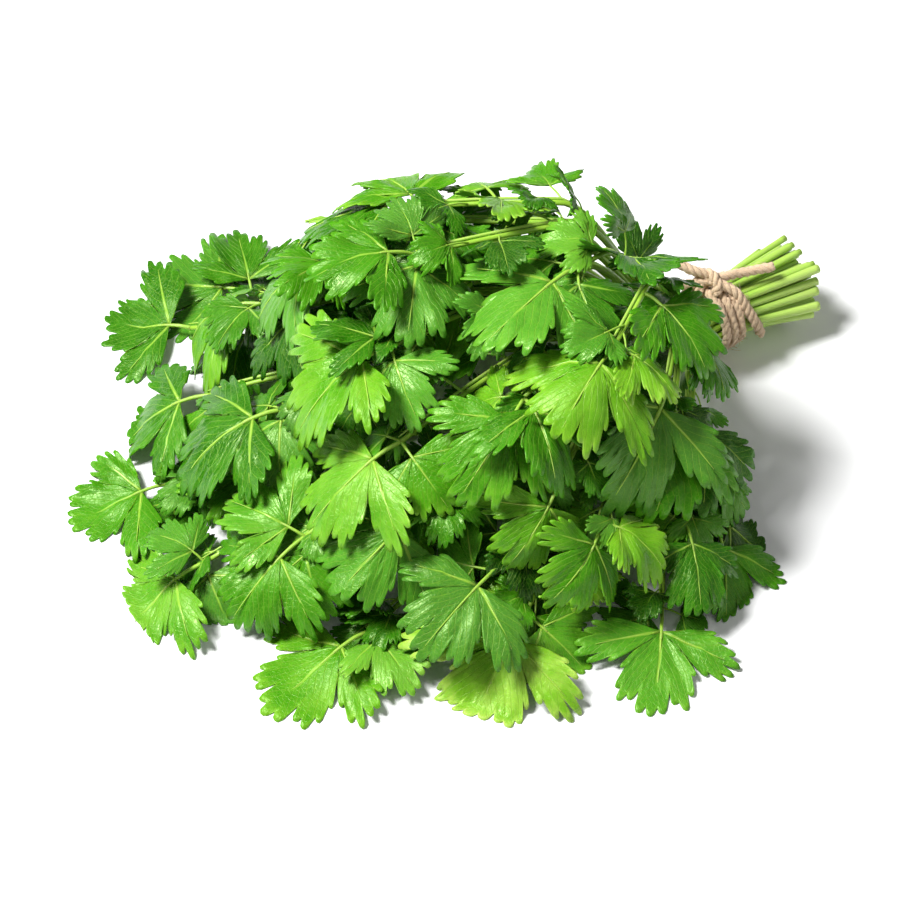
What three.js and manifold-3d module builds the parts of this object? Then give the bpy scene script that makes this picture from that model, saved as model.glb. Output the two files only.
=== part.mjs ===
// A bunch of coriander lying on a table: 37 cut leafy stems held by three turns of jute twine with a
// half bow. Millimetres, +Z up, +X towards the cut ends, z = 0 is the surface that the bunch lies on.
import * as THREE from "three";
import { mergeVertices } from "three/addons/utils/BufferGeometryUtils.js";
import Module from "manifold-3d";

const wasm = await Module();
wasm.setup();

// Driving dimensions of the bunch. Layout is worked out with the tie above x = 0, y = 0.
const TIE_PLACE = { x: 90.62, y: -13.73 };
const TIE_HEIGHT = 17.2;
const STEM_PITCH = 2.8;
const ROW_PITCH = STEM_PITCH * Math.sin(Math.PI / 3);
const STEM_RADIUS = 1.25;
const STEM_CUT_RADIUS = 1.75;
const STEM_TIP_RADIUS = 0.8;
const STEM_SIDES = 5;
const STATIONS = [-1, -0.3, 0, 0.06, 0.15, 0.3, 0.5, 0.7, 0.85, 1];
const CUT_LENGTH = 35;
const CUT_LENGTH_SPREAD = 6;
const CUT_SPLAY = 1.85;
const CUT_SPLAY_DOWN = 1.5;
const CUT_DROP = 4.5;
const TIED_HALF_LENGTH = 6;

// The mound of foliage, in plan from the tie, and how far its layers of stems stand apart.
const MOUND = { x: -94, y: 6, radius: 104, layerGap: 13.3 };
const TABLE_CLEARANCE = 2.6;
const RISE_LENGTH = 44;
const FALL_LENGTH = 84;

// Leaflets: length, blade thickness, and the clear space kept between blades and stems.
const LEAFLET_LENGTH = 29;
const BLADE = 0.7;
const ROOT_HALF_WIDTH = 0.75;
const BLADE_CLEARANCE = 3.8;
const LAYER_CLEARANCE = 1.7;
const STEM_CLEARANCE = 3.0;
const TWINE_CLEARANCE = 4.0;
const STEM_SPOT_STEP = 3;
const STEM_SPOT_GROUP = 3;
const ROOT_ZONE = 13;
const ROOT_SINK = 1.2;
const TRIES = 70;

// Blades stay back from the tie by this length, and by more towards the front, where stems show bare.
const BARE_LENGTH = 22;
const BARE_SLANT = 0.15;

const SEED = 1;

// Rows of the bunch from the table up. Each stem is [fan angle in degrees, reach in mm], where the fan
// is measured at the tie from -X, positive towards -Y, and the reach ends at the stem's last node.
const ROWS = [
  { leaflets: 4, tilt: 0.0, stems: [[-43, 158], [-15, 188], [13, 166], [45, 114]] },
  { leaflets: 4, tilt: 0.5, stems: [[-54, 84], [-36, 176], [-3, 192], [28, 138], [53, 84]] },
  { leaflets: 4, tilt: 0.8, stems: [[-54, 70], [-40, 142], [-21, 170], [3, 166], [23, 136], [47, 94]] },
  { leaflets: 5, tilt: 0.9, stems: [[-56, 46], [-48, 94], [-31, 150], [-11, 152], [12, 142], [34, 112], [45, 60]] },
  { leaflets: 5, tilt: 0.9, stems: [[-46, 58], [-40, 116], [-23, 138], [6, 134], [27, 114], [41, 72]] },
  { leaflets: 5, tilt: 0.8, stems: [[-34, 108], [-25, 126], [-4, 122], [17, 104], [39, 72]] },
  { leaflets: 5, tilt: 0.6, stems: [[-28, 98], [-14, 104], [6, 66], [27, 80]] },
];

// A leaflet's outline from its base, as [angle in degrees, share of its length]: three lobes with
// rounded teeth, parted by two deep cuts. The angles run from the right side (-B) to the left.
const OUTLINE = [
  [-94, 0.58], [-79, 0.74], [-64, 0.88], [-43, 0.36],
  [-28, 0.88], [-15, 0.78], [0, 1.0], [15, 0.78], [28, 0.88],
  [43, 0.36], [64, 0.88], [79, 0.74], [94, 0.58],
];
const CUTS = [3, 9];
const LOBE_CROWNS = [[-70, 0.42], [0, 0.55], [70, 0.42]];

// Where leaflets grow on a stem: yaw from the stem, distance back from its end, stalk and size share.
const LEAFLET_PLACES = [
  { yaw: 0, back: 0, stalk: 7, size: 1.08 },
  { yaw: 66, back: 0, stalk: 5, size: 0.96 },
  { yaw: -66, back: 0, stalk: 5, size: 0.96 },
  { yaw: 72, back: 25, stalk: 7, size: 0.9 },
  { yaw: -72, back: 25, stalk: 7, size: 0.9 },
];

// The order in which the rows get their leaflets: the shell and what lies on the table come first.
const ROW_ORDER = [6, 0, 5, 1, 4, 3, 2];

// Twine: three turns round the stems, knotted on top, with one loop and two tails.
const TWINE_RADIUS = 1.5;
const TWINE_SIDES = 6;
const TWINE_TURNS = 3;
const TWINE_PITCH = 3.1;
const STEPS_A_TURN = 20;
const KNOT_ANGLE = 12;
const TWINE_GAP = 0.7;

const radians = THREE.MathUtils.degToRad;
const lerp = THREE.MathUtils.lerp;
const smooth = (t) => THREE.MathUtils.smoothstep(t, 0, 1);

// Park and Miller's generator: the same draws on any machine.
function drawer(seed) {
  let state = 1 + ((seed * 48271) % 2147483646);
  const next = () => (state = (state * 16807) % 2147483647) / 2147483647;
  for (let i = 0; i < 5; i += 1) next();
  return next;
}

// Height of a row's stems above the table at a place in plan: rows are stacked at the tie, and part
// towards the middle of the mound, so they never cross.
function rowHeight(x, y, row) {
  const away = Math.max(0, Math.hypot(x, y) - 1.6 * TIED_HALF_LENGTH);
  const out = Math.hypot(x - MOUND.x, y - MOUND.y) / MOUND.radius;
  const crown = Math.sqrt(Math.max(0, 1 - out * out)) * smooth(away / RISE_LENGTH);
  const lowest = lerp(TIE_HEIGHT - 3 * ROW_PITCH, TABLE_CLEARANCE, smooth(away / FALL_LENGTH));
  return lowest + row * lerp(ROW_PITCH, MOUND.layerGap, crown);
}

// One stem: its place in the tie, its cut end and its flat route to its last node.
function makeStem(row, place, count, fan, reach, index) {
  const draw = drawer(SEED * 1000 + index * 37);
  const angle = radians(fan);
  const side = ((count - 1) / 2 - place) * STEM_PITCH;
  const height = (row - 3) * ROW_PITCH;
  const way = (turn, length) => [-Math.cos(turn) * length, -Math.sin(turn) * length];
  const end = way(angle, reach);
  const first = way(0.3 * angle, 0.4 * reach);
  const last = way(1.1 * angle, 0.33 * reach);
  const cutLength = CUT_LENGTH + CUT_LENGTH_SPREAD * (draw() - 0.5) * 2;
  return {
    row, index, side, height, cutLength,
    thick: 0.86 + 0.14 * draw(),
    plan: [
      [-TIED_HALF_LENGTH, side], [first[0], side + first[1]], [end[0] - last[0], end[1] - last[1]], end,
    ],
  };
}

// A point on a stem: t runs from -1 at the cut end through 0, just inside the tie, to 1 at the last node.
// The stems run straight through the tie, then part and drop towards their cut ends.
function stemPoint(stem, t) {
  if (t <= 0) {
    const x = lerp(-TIED_HALF_LENGTH, stem.cutLength, -t);
    const past = Math.max(0, x - TIED_HALF_LENGTH) / CUT_LENGTH;
    return new THREE.Vector3(
      x,
      stem.side * (1 + (CUT_SPLAY - 1) * past),
      TIE_HEIGHT + stem.height * (1 + (CUT_SPLAY_DOWN - 1) * past) - CUT_DROP * past,
    );
  }
  const s = 1 - t;
  const [a, b, c, d] = stem.plan;
  const at = (k) => s * s * s * a[k] + 3 * s * s * t * b[k] + 3 * s * t * t * c[k] + t * t * t * d[k];
  return new THREE.Vector3(at(0), at(1), rowHeight(at(0), at(1), stem.row));
}

function stemRadius(stem, t) {
  return stem.thick * lerp(STEM_RADIUS, t < 0 ? STEM_CUT_RADIUS : STEM_TIP_RADIUS, Math.abs(t));
}

// The place on a stem's straight pieces at a distance back from its last node, and its direction there.
function stemPlace(stem, back) {
  let left = back;
  for (let i = STATIONS.length - 1; i > 0; i -= 1) {
    const from = stemPoint(stem, STATIONS[i]);
    const to = stemPoint(stem, STATIONS[i - 1]);
    const length = from.distanceTo(to);
    const forward = from.clone().sub(to).divideScalar(length);
    if (left <= length || i === 1) return { point: from.addScaledVector(forward, -left), forward };
    left -= length;
  }
}

// The leaflet's frame for one try: A along its midrib, B to its left, N out of its upper face.
function leafletFrame(stem, spot, number, draw, amount) {
  const either = (size) => size * (2 * draw() - 1);
  const out = Math.hypot(spot.point.x - MOUND.x, spot.point.y - MOUND.y) / MOUND.radius;
  const tilt = ROWS[stem.row].tilt;
  const N = new THREE.Vector3(
    (tilt * (spot.point.x - MOUND.x)) / MOUND.radius,
    (tilt * (spot.point.y - MOUND.y)) / MOUND.radius,
    1,
  ).normalize();
  const F = spot.forward.clone().addScaledVector(N, -spot.forward.dot(N)).normalize();
  const S = N.clone().cross(F);
  const place = LEAFLET_PLACES[number];
  const yaw = radians(place.yaw + either(10 + 16 * amount));
  const pitch = -0.8 * Math.asin(spot.forward.dot(N)) + radians(18 * out * tilt + either(10 + 26 * amount));
  const roll = radians(-Math.sign(place.yaw) * 6 + either(12 + 26 * amount));
  const A = F.multiplyScalar(Math.cos(yaw)).addScaledVector(S, Math.sin(yaw));
  const across = N.clone().cross(A);
  const A2 = A.clone().multiplyScalar(Math.cos(pitch)).addScaledVector(N, -Math.sin(pitch));
  const N2 = N.clone().multiplyScalar(Math.cos(pitch)).addScaledVector(A, Math.sin(pitch));
  const B = across.clone().multiplyScalar(Math.cos(roll)).addScaledVector(N2, Math.sin(roll));
  const N3 = N2.clone().multiplyScalar(Math.cos(roll)).addScaledVector(across, -Math.sin(roll));
  const stalkWay = A2.clone().addScaledVector(N3, 0.25).normalize();
  return {
    A: A2, B, N: N3,
    root: spot.point.clone().addScaledVector(spot.forward, -ROOT_SINK),
    base: spot.point.clone().addScaledVector(stalkWay, place.stalk * (1 + 0.5 * draw())),
    length: LEAFLET_LENGTH * place.size * (0.86 + 0.28 * draw()) * (1 - 0.4 * amount),
    droop: 0.15 + 0.75 * draw(),
    fold: either(0.3),
    wave: 0.05 + 0.05 * draw(),
    phase: 6.28 * draw(),
    lobes: [0.9 + 0.2 * draw(), 0.94 + 0.12 * draw(), 0.9 + 0.2 * draw()],
    hang: 0.5 * out * tilt,
  };
}

// A point of a leaflet's middle surface: angle in degrees and share of its length from its base.
// The blade arches along its midrib, folds along it and waves, and lies flat where it meets the table.
function leafletPoint(leaf, angle, share) {
  const turn = radians(angle);
  const lobe = leaf.lobes[angle < -43 ? 0 : angle > 43 ? 2 : 1];
  const r = share * lobe * leaf.length;
  const along = r * Math.cos(turn);
  const across = r * Math.sin(turn);
  const bend = (leaf.droop + leaf.hang) / leaf.length;
  const arch = bend * along;
  const rise = leaf.fold * (Math.hypot(across, 3) - 3) - 0.5 * bend * across * across * 0.6
    + leaf.wave * leaf.length * (r / leaf.length) ** 2 * Math.sin(3 * turn + leaf.phase);
  const flat = Math.sin(arch) / bend;
  const drop = (1 - Math.cos(arch)) / bend;
  const point = leaf.base.clone()
    .addScaledVector(leaf.A, flat)
    .addScaledVector(leaf.B, across)
    .addScaledVector(leaf.N, rise - drop);
  point.z = Math.max(point.z, BLADE / 2);
  return point;
}

// The flat facets of a leaflet's middle surface: its points, and the triangles of its upper face.
function leafletFacets(leaf) {
  const half = leaf.B.clone().multiplyScalar(ROOT_HALF_WIDTH);
  const rim = OUTLINE.map(([angle, share]) => leafletPoint(leaf, angle, share));
  const crowns = LOBE_CROWNS.map(([angle, share]) => leafletPoint(leaf, angle, share));
  const points = [leaf.base.clone().sub(half), leaf.base.clone().add(half), ...rim, ...crowns];
  const ids = OUTLINE.map((_, i) => i + 2);
  const [cutRight, cutLeft] = CUTS;
  const lobes = [
    [0, ...ids.slice(0, cutRight + 1)],
    [1, 0, ...ids.slice(cutRight, cutLeft + 1)],
    [1, ...ids.slice(cutLeft)],
  ];
  const triangles = lobes.flatMap((ring, k) => ring.map((v, i) => (
    [ids.length + 2 + k, v, ring[(i + 1) % ring.length]]
  )));
  return { points, triangles, edge: [0, ...ids, 1] };
}

// Spots spread over a leaflet and its stalk: each is a place and, on the blade, the facet's normal.
function leafletSpots(leaf, facets) {
  const spots = [1, 0.6, 0.25].map((k) => spotAt(leaf.root.clone().lerp(leaf.base, k)));
  facets.triangles.forEach((triangle) => {
    const [crown, here, next] = triangle.map((i) => facets.points[i]);
    const normal = here.clone().sub(crown).cross(next.clone().sub(crown)).normalize();
    const between = here.clone().lerp(next, 0.5);
    [here, between, crown.clone().lerp(here, 2 / 3), crown.clone().lerp(here, 1 / 3),
      crown.clone().lerp(between, 0.5)].forEach((at) => spots.push(spotAt(at, normal)));
  });
  return spots;
}

function spotAt(at, normal) {
  return { x: at.x, y: at.y, z: at.z, n: normal ?? null };
}

// True if two spots are nearer than blades may come: side by side, or one through the other. Blades
// that lie over each other may come as near as LAYER_CLEARANCE.
function tooNear(p, q, reach) {
  const [x, y, z] = [p.x - q.x, p.y - q.y, p.z - q.z];
  if (x * x + y * y + z * z > reach * reach) return false;
  const above = p.n ? Math.abs(x * p.n.x + y * p.n.y + z * p.n.z) : 0;
  const below = q.n ? Math.abs(x * q.n.x + y * q.n.y + z * q.n.z) : 0;
  return Math.min(above, below) < LAYER_CLEARANCE;
}

function distance(p, q) {
  return Math.hypot(p.x - q.x, p.y - q.y, p.z - q.z);
}

// True if a leaflet keeps its distance from all that is placed. Near its root it may meet its own stem.
function isClear(leaf, spots, placed, owner) {
  if (spots.some((p) => p.n && p.x > -BARE_LENGTH + BARE_SLANT * Math.min(0, p.y))) return false;
  const outer = spots.filter((p) => distance(p, leaf.root) > ROOT_ZONE);
  return placed.every((other) => {
    if (distance(other.centre, leaf.base) > other.size + 1.3 * leaf.length) return true;
    const own = other.owner === owner;
    const theirs = own ? other.spots.filter((q) => distance(q, leaf.root) > ROOT_ZONE) : other.spots;
    return (own ? outer : spots).every((p) => (
      distance(p, other.centre) > other.size + other.reach || theirs.every((q) => !tooNear(p, q, other.reach))
    ));
  });
}

// The whole bunch: every stem first, then leaflets, from the outermost rows inwards. A leaflet that
// would touch what is there is drawn again, turned further and smaller, and left out if it never fits.
function layOut() {
  const stems = [];
  ROWS.forEach((row, k) => row.stems.forEach(([fan, reach], j) => {
    stems.push(makeStem(k, j, row.stems.length, fan, reach, stems.length));
  }));
  const placed = [];
  stems.forEach((stem) => {
    const length = stemPoint(stem, 1).distanceTo(stemPoint(stem, 0));
    const count = Math.ceil(length / STEM_SPOT_STEP);
    for (let i = 0; i < count; i += STEM_SPOT_GROUP) {
      const spots = [];
      for (let k = 0; k <= STEM_SPOT_GROUP; k += 1) {
        spots.push(spotAt(stemPoint(stem, Math.min(1, (i + k) / count))));
      }
      const centre = spots[Math.floor(STEM_SPOT_GROUP / 2)];
      placed.push({ spots, centre, size: 14, reach: STEM_CLEARANCE, owner: stem.index });
    }
  });
  twineLines().forEach((line) => {
    placed.push({ spots: line.map((at) => spotAt(at)), centre: line[0], size: 34, reach: TWINE_CLEARANCE });
  });
  const turn = (stem) => ROW_ORDER.indexOf(stem.row) * stems.length + stem.index;
  const places = LEAFLET_PLACES.flatMap((_, number) => (
    stems.filter((stem) => number < ROWS[stem.row].leaflets)
      .toSorted((a, b) => turn(a) - turn(b))
      .map((stem) => ({ stem, number }))
  ));
  places.forEach(({ stem, number }) => {
    const place = stemPlace(stem, LEAFLET_PLACES[number].back);
    const draw = drawer(SEED + stem.index * 101 + number * 7);
    for (let i = 0; i < TRIES; i += 1) {
      const leaf = leafletFrame(stem, place, number, draw, i / TRIES);
      const spots = leafletSpots(leaf, leafletFacets(leaf));
      if (!isClear(leaf, spots, placed, stem.index)) continue;
      const size = leaf.length * 1.3;
      placed.push({ spots, centre: leaf.base, size, reach: BLADE_CLEARANCE, owner: stem.index });
      (stem.leaflets ??= []).push(leaf);
      break;
    }
  });
  return stems;
}

// A place on the wrapped bundle: x along it, its angle in degrees from the top towards +Y, and the height
// of the twine's middle line above where it lies on the stems.
function wrapPoint(x, angle, lift) {
  const past = Math.max(0, x - TIED_HALF_LENGTH) / CUT_LENGTH;
  const spread = 1 + (CUT_SPLAY - 1) * past;
  const offFlat = ((((angle + 30) % 60) + 60) % 60) - 30;
  const flat = 3 * ROW_PITCH * spread;
  const away = flat / Math.cos(radians(offFlat)) + STEM_RADIUS + TWINE_RADIUS + TWINE_GAP + lift;
  return new THREE.Vector3(
    x,
    away * Math.sin(radians(angle)),
    TIE_HEIGHT - CUT_DROP * past + away * Math.cos(radians(angle)),
  );
}

// A smooth line through points, with the given number of steps from each to the next.
function spline(points, steps) {
  const line = [];
  for (let i = 0; i + 1 < points.length; i += 1) {
    const [p0, p1, p2, p3] = [i - 1, i, i + 1, i + 2].map((k) => (
      points[Math.min(Math.max(k, 0), points.length - 1)]
    ));
    for (let j = 0; j < steps; j += 1) {
      const t = j / steps;
      line.push(p1.clone().multiplyScalar(1 - 2.5 * t * t + 1.5 * t ** 3)
        .addScaledVector(p0, -0.5 * t + t * t - 0.5 * t ** 3)
        .addScaledVector(p2, 0.5 * t + 2 * t * t - 1.5 * t ** 3)
        .addScaledVector(p3, -0.5 * t * t + 0.5 * t ** 3));
    }
  }
  return [...line, points.at(-1)];
}

// The middle lines of the twine's pieces: the turns, the two strands crossed in the knot, the loop and
// the two tails.
function twineLines() {
  const turns = [];
  const steps = TWINE_TURNS * STEPS_A_TURN;
  for (let i = 0; i <= steps; i += 1) {
    const x = lerp(-0.5, 0.5, i / steps) * TWINE_TURNS * TWINE_PITCH;
    turns.push(wrapPoint(x, KNOT_ANGLE + (360 * i) / STEPS_A_TURN, 0));
  }
  const knot = (x, angle, lift) => wrapPoint(x, KNOT_ANGLE + angle, lift);
  const first = turns[0];
  const last = turns.at(-1);
  const bridge = spline([first, knot(-2.8, 6, 2.6), knot(0, 1, 3.4), knot(2.8, -6, 2.6), last], 3);
  const collar = spline([
    knot(-1.2, -19, 1.4), knot(0.6, -15, 3.9), knot(0.8, 0, 6.2), knot(-0.4, 14, 4.4), knot(-1.4, 19, 1.6),
  ], 3);
  const loop = spline([
    knot(0, 2, 3.6), knot(-4, 8, 3.4), knot(-8.5, 16, 3.8), knot(-12.5, 23, 6), knot(-14, 26, 9),
    knot(-12, 25, 12), knot(-8, 18, 11), knot(-4, 9, 8), knot(0.5, 3, 5.4),
  ], 2);
  const shortTail = spline([knot(-1, -2, 4), knot(5, -6, 4), knot(12, -12, 3), knot(22, -24, 2.4)], 3);
  const longTail = spline([
    knot(0.5, -6, 4.4), knot(4.8, -32, 2.4), knot(7, -62, 0.6), knot(9, -92, 0.5), knot(11.5, -120, 1.2),
  ], 3);
  return [turns, bridge, collar, loop, shortTail, longTail];
}

// Turns a three.js geometry into a manifold solid, and back.
function solidOf(geometry) {
  geometry.deleteAttribute("normal");
  geometry.deleteAttribute("uv");
  const merged = mergeVertices(geometry, 1e-4);
  return new wasm.Manifold(new wasm.Mesh({
    numProp: 3,
    vertProperties: new Float32Array(merged.attributes.position.array),
    triVerts: new Uint32Array(merged.index.array),
  }));
}

function geometryOf(solid) {
  const mesh = solid.getMesh();
  const geometry = new THREE.BufferGeometry();
  geometry.setAttribute("position", new THREE.BufferAttribute(mesh.vertProperties, 3));
  geometry.setIndex(new THREE.BufferAttribute(mesh.triVerts, 1));
  geometry.computeVertexNormals();
  return geometry;
}

// A closed cylinder bent along a route, given its points and its radius at each of them. Its frame is
// carried along from point to point, so it doesn't twist.
function tube(points, radii, sides) {
  const last = points.length - 1;
  const frames = [];
  let side = new THREE.Vector3(0, 1, 0.01);
  points.forEach((point, i) => {
    const along = points[Math.min(last, i + 1)].clone().sub(points[Math.max(0, i - 1)]).normalize();
    side = side.clone().addScaledVector(along, -side.dot(along)).normalize();
    frames.push({ side, top: along.cross(side) });
  });
  const geometry = new THREE.CylinderGeometry(1, 1, 1, sides, last);
  const position = geometry.attributes.position;
  for (let i = 0; i < position.count; i += 1) {
    const step = Math.round((position.getY(i) + 0.5) * last);
    const point = points[step].clone()
      .addScaledVector(frames[step].side, position.getZ(i) * radii[step])
      .addScaledVector(frames[step].top, position.getX(i) * radii[step]);
    position.setXYZ(i, point.x, point.y, point.z);
  }
  return geometry;
}

function stemSolid(stem) {
  const points = STATIONS.map((t) => stemPoint(stem, t));
  return solidOf(tube(points, STATIONS.map((t) => stemRadius(stem, t)), STEM_SIDES));
}

// A leaflet and its stalk as one closed mesh: the stalk's four sides run into the blade's root edge.
// Both faces have the same facets, and what lies on the table is flat underneath.
function leafletSolid(leaf) {
  const { points: middle, triangles: faces, edge } = leafletFacets(leaf);
  const count = middle.length;
  const upper = middle.map((p) => p.clone().addScaledVector(leaf.N, BLADE / 2));
  const lower = middle.map((p) => p.clone().addScaledVector(leaf.N, -BLADE / 2));
  middle.forEach((p, i) => {
    if (p.z > BLADE / 2 + 1e-6) return;
    upper[i].set(p.x, p.y, BLADE);
    lower[i].set(p.x, p.y, 0);
  });
  lower.forEach((p) => p.setZ(Math.max(p.z, 0)));
  const stalkRoot = [upper[0], upper[1], lower[0], lower[1]].map((p) => (
    p.clone().sub(leaf.base).multiplyScalar(1.1).add(leaf.root)
  ));
  const under = (v) => v + count;
  const triangles = faces.flatMap(([i, j, k]) => [[i, j, k], [under(i), under(k), under(j)]]);
  const quad = (i, j, k, l) => triangles.push([i, j, k], [i, k, l]);
  for (let i = 0; i + 1 < edge.length; i += 1) {
    quad(edge[i], under(edge[i]), under(edge[i + 1]), edge[i + 1]);
  }
  const [topRight, topLeft, bottomRight, bottomLeft] = [0, 1, 2, 3].map((i) => 2 * count + i);
  quad(topRight, 0, 1, topLeft);
  quad(bottomLeft, under(1), under(0), bottomRight);
  quad(bottomRight, under(0), 0, topRight);
  quad(topLeft, 1, under(1), bottomLeft);
  quad(topRight, topLeft, bottomLeft, bottomRight);
  const geometry = new THREE.BufferGeometry().setFromPoints([...upper, ...lower, ...stalkRoot]);
  geometry.setIndex(triangles.flat());
  return solidOf(geometry);
}

// The twine's pieces, joined into one body. Its ends taper a little.
function twineSolid() {
  return twineLines()
    .map((line) => {
      const radii = line.map((_, i) => TWINE_RADIUS * (i === 0 || i === line.length - 1 ? 0.8 : 1));
      return solidOf(tube(line, radii, TWINE_SIDES));
    })
    .reduce((whole, piece) => whole.add(piece));
}

// One leafy stem: the cut stem with its leaflets grown into it.
function leafyStem(stem) {
  return (stem.leaflets ?? []).reduce((whole, leaf) => whole.add(leafletSolid(leaf)), stemSolid(stem));
}

const bunch = new THREE.Group();
const stems = layOut();
const green = new THREE.MeshStandardMaterial({ color: 0x5fa32a, roughness: 0.55, metalness: 0 });
stems.forEach((stem) => {
  const mesh = new THREE.Mesh(geometryOf(leafyStem(stem)), green);
  mesh.name = `leafy_stem_${String(stem.index + 1).padStart(2, "0")}`;
  bunch.add(mesh);
});
const twine = new THREE.Mesh(
  geometryOf(twineSolid()),
  new THREE.MeshStandardMaterial({ color: 0xc4a57c, roughness: 0.9, metalness: 0 }),
);
twine.name = "twine";
bunch.add(twine);
bunch.position.set(TIE_PLACE.x, TIE_PLACE.y, 0);

export default bunch;
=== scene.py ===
"""A bunch of fresh coriander lying on a pale table, its stems tied with jute twine in a half bow.

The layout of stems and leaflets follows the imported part: the same rows, the same seeded draws and the
same clearances. Each stem and leaflet is then made again, finer, where the part has it, and small inner
leaflets and thin stems are added. Layout is in millimetres with the tie above the origin, and meshes are
in metres in the part's frame.
"""
import math

import bpy
import numpy as np
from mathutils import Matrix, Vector


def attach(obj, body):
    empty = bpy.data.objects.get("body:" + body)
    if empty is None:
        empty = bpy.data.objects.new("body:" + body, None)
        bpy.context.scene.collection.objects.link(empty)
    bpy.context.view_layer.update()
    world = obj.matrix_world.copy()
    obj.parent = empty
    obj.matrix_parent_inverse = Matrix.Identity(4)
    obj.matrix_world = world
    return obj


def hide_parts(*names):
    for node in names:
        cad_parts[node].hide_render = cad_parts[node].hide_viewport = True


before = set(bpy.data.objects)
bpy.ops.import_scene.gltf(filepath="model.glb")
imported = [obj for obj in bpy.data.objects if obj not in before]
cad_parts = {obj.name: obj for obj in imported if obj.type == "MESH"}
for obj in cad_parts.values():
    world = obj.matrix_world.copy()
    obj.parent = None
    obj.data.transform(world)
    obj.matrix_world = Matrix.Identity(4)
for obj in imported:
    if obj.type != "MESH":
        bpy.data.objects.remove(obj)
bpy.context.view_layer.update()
bpy.ops.object.select_all(action="DESELECT")

MM = 0.001

# Driving dimensions of the bunch, as in the part.
TIE_PLACE = np.array([90.62, -13.73, 0.0])
TIE_HEIGHT = 17.2
STEM_PITCH = 2.8
ROW_PITCH = STEM_PITCH * math.sin(math.pi / 3)
STEM_RADIUS = 1.25
STEM_CUT_RADIUS = 1.75
STEM_TIP_RADIUS = 0.8
STATIONS = [-1, -0.3, 0, 0.06, 0.15, 0.3, 0.5, 0.7, 0.85, 1]
CUT_LENGTH = 35
CUT_LENGTH_SPREAD = 6
CUT_SPLAY = 1.85
CUT_SPLAY_DOWN = 1.5
CUT_DROP = 4.5
TIED_HALF_LENGTH = 6
MOUND = np.array([-94.0, 6.0])
MOUND_RADIUS = 104
LAYER_GAP = 13.3
TABLE_CLEARANCE = 2.6
RISE_LENGTH = 44
FALL_LENGTH = 84
LEAFLET_LENGTH = 29
BLADE = 0.7
ROOT_HALF_WIDTH = 0.75
BLADE_CLEARANCE = 3.8
LAYER_CLEARANCE = 1.7
STEM_CLEARANCE = 3.0
TWINE_CLEARANCE = 4.0
STEM_SPOT_STEP = 3
STEM_SPOT_GROUP = 3
ROOT_ZONE = 13
ROOT_SINK = 1.2
TRIES = 70
BARE_LENGTH = 22
BARE_SLANT = 0.15
SEED = 1

# Rows from the table up: leaflets a stem, outward tilt, and each stem's fan angle and reach.
ROWS = [
    (4, 0.0, [(-43, 158), (-15, 188), (13, 166), (45, 114)]),
    (4, 0.5, [(-54, 84), (-36, 176), (-3, 192), (28, 138), (53, 84)]),
    (4, 0.8, [(-54, 70), (-40, 142), (-21, 170), (3, 166), (23, 136), (47, 94)]),
    (5, 0.9, [(-56, 46), (-48, 94), (-31, 150), (-11, 152), (12, 142), (34, 112), (45, 60)]),
    (5, 0.9, [(-46, 58), (-40, 116), (-23, 138), (6, 134), (27, 114), (41, 72)]),
    (5, 0.8, [(-34, 108), (-25, 126), (-4, 122), (17, 104), (39, 72)]),
    (5, 0.6, [(-28, 98), (-14, 104), (6, 66), (27, 80)]),
]
ROW_ORDER = [6, 0, 5, 1, 4, 3, 2]

# The part's leaflet outline, which the clearances are measured on: angle in degrees, share of length.
OUTLINE = [
    (-94, 0.58), (-79, 0.74), (-64, 0.88), (-43, 0.36),
    (-28, 0.88), (-15, 0.78), (0, 1.0), (15, 0.78), (28, 0.88),
    (43, 0.36), (64, 0.88), (79, 0.74), (94, 0.58),
]
CUTS = (3, 9)
LOBE_CROWNS = [(-70, 0.42), (0, 0.55), (70, 0.42)]

# Where leaflets grow on a stem: yaw, distance back from its end, stalk and size share.
LEAFLET_PLACES = [(0, 0, 7, 1.08), (66, 0, 5, 0.96), (-66, 0, 5, 0.96), (72, 25, 7, 0.9), (-72, 25, 7, 0.9)]

# Small leaflets that only the looks have: lower on the stems, deeper in the mound.
INNER_PLACES = [
    (-20, 8, 5, 0.62), (40, 14, 6, 0.72), (-44, 16, 6, 0.7), (24, 6, 5, 0.58),
    (58, 40, 7, 0.66), (-60, 44, 7, 0.66), (20, 54, 8, 0.6),
]
INNER_CLEARANCE = 2.0
INNER_LAYER_CLEARANCE = 1.1
INNER_TRIES = 18

# Stems as they are seen: how far they stray at their cut ends, and thin ones in the gaps between rows.
CUT_STRAY = 3.0
THIN_STEM_PLACE = (0.5, 0.34)
THIN_STEM_RADII = (0.5, 1.15)

# Twine.
TWINE_RADIUS = 1.5
TWINE_TURNS = 3
TWINE_PITCH = 3.1
STEPS_A_TURN = 20
KNOT_ANGLE = 12
TWINE_GAP = 0.7
PLIES = 3
PLY_RADIUS = 0.62 * TWINE_RADIUS
PLY_OFFSET = 0.56 * TWINE_RADIUS
PLY_TWIST_LENGTH = 7.5
PLY_STEP = 0.45
FIBRES_A_POINT = 2.5
FIBRE_RADII = (0.09, 0.045)

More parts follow.
